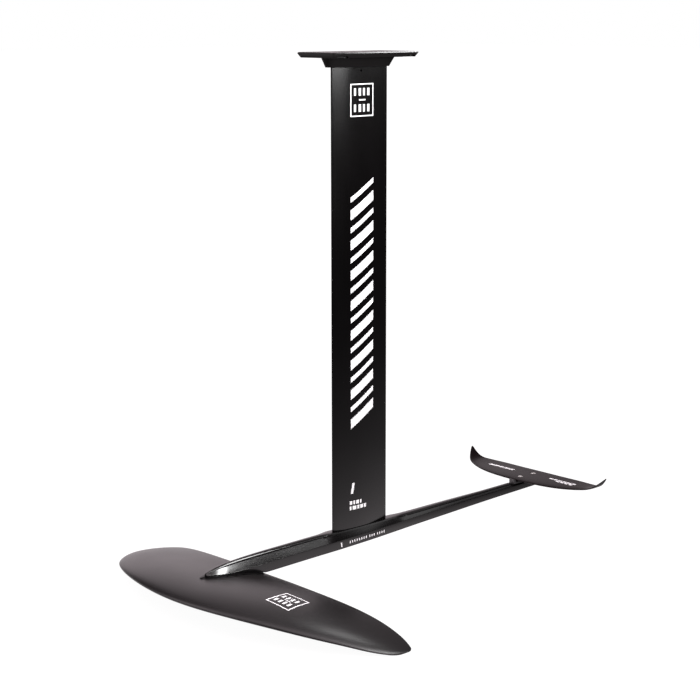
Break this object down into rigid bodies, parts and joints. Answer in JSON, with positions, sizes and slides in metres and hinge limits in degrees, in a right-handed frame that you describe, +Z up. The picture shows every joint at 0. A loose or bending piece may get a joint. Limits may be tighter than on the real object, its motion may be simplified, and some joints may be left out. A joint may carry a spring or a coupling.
{
  "type": "hydrofoil mast wing",
  "caption": "Hydrofoil for a board: flat bolt-on plate, tall foil-section mast, slim fuselage, swept front wing with drooping tips and a small stabiliser with upturned tips.",
  "frame": {"origin": "centre of the plate's top face, the face that bolts against the board", "axes": "+Z up into the board, +X forward along the fuselage towards the front wing, +Y to port across the wings"},
  "size_m": [0.9885, 0.761, 0.9948],
  "materials": {
    "plate_anodised": "black anodised, satin, bright on its chamfered edge",
    "mast_anodised": "black anodised, satin",
    "fuselage_anodised": "black anodised, satin",
    "wing_satin": "satin black lacquer over a carbon and glass laminate",
    "stabiliser_satin": "satin black lacquer over a carbon and glass laminate",
    "seat_pad": "smooth glossy black",
    "shim_polymer": "moulded black",
    "stainless": "bright stainless steel",
    "insert_steel": "plain stainless thread insert"
  },
  "bodies": {
    "root": {"top_plate": "plate_anodised", "plate_screw_1": "stainless", "plate_screw_2": "stainless", "plate_screw_3": "stainless", "plate_screw_4": "stainless", "mast": "mast_anodised", "mast_top_insert_1": "insert_steel", "mast_top_insert_2": "insert_steel", "mast_top_insert_3": "insert_steel", "mast_top_insert_4": "insert_steel", "mast_foot_insert_1": "insert_steel", "mast_foot_insert_2": "insert_steel", "mast_foot_insert_3": "insert_steel", "mast_foot_insert_4": "insert_steel", "mast_screw_1": "stainless", "mast_screw_2": "stainless", "mast_screw_3": "stainless", "mast_screw_4": "stainless", "fuselage": "fuselage_anodised", "front_wing": "wing_satin", "wing_seat": "seat_pad", "front_wing_screw_1": "stainless", "front_wing_screw_2": "stainless", "front_wing_screw_3": "stainless", "nose_insert_1": "insert_steel", "nose_insert_2": "insert_steel", "nose_insert_3": "insert_steel", "stabiliser": "stabiliser_satin", "stab_shim": "shim_polymer", "stab_screw_1": "stainless", "stab_screw_2": "stainless", "tail_insert_1": "insert_steel", "tail_insert_2": "insert_steel"}
  },
  "joints": []
}
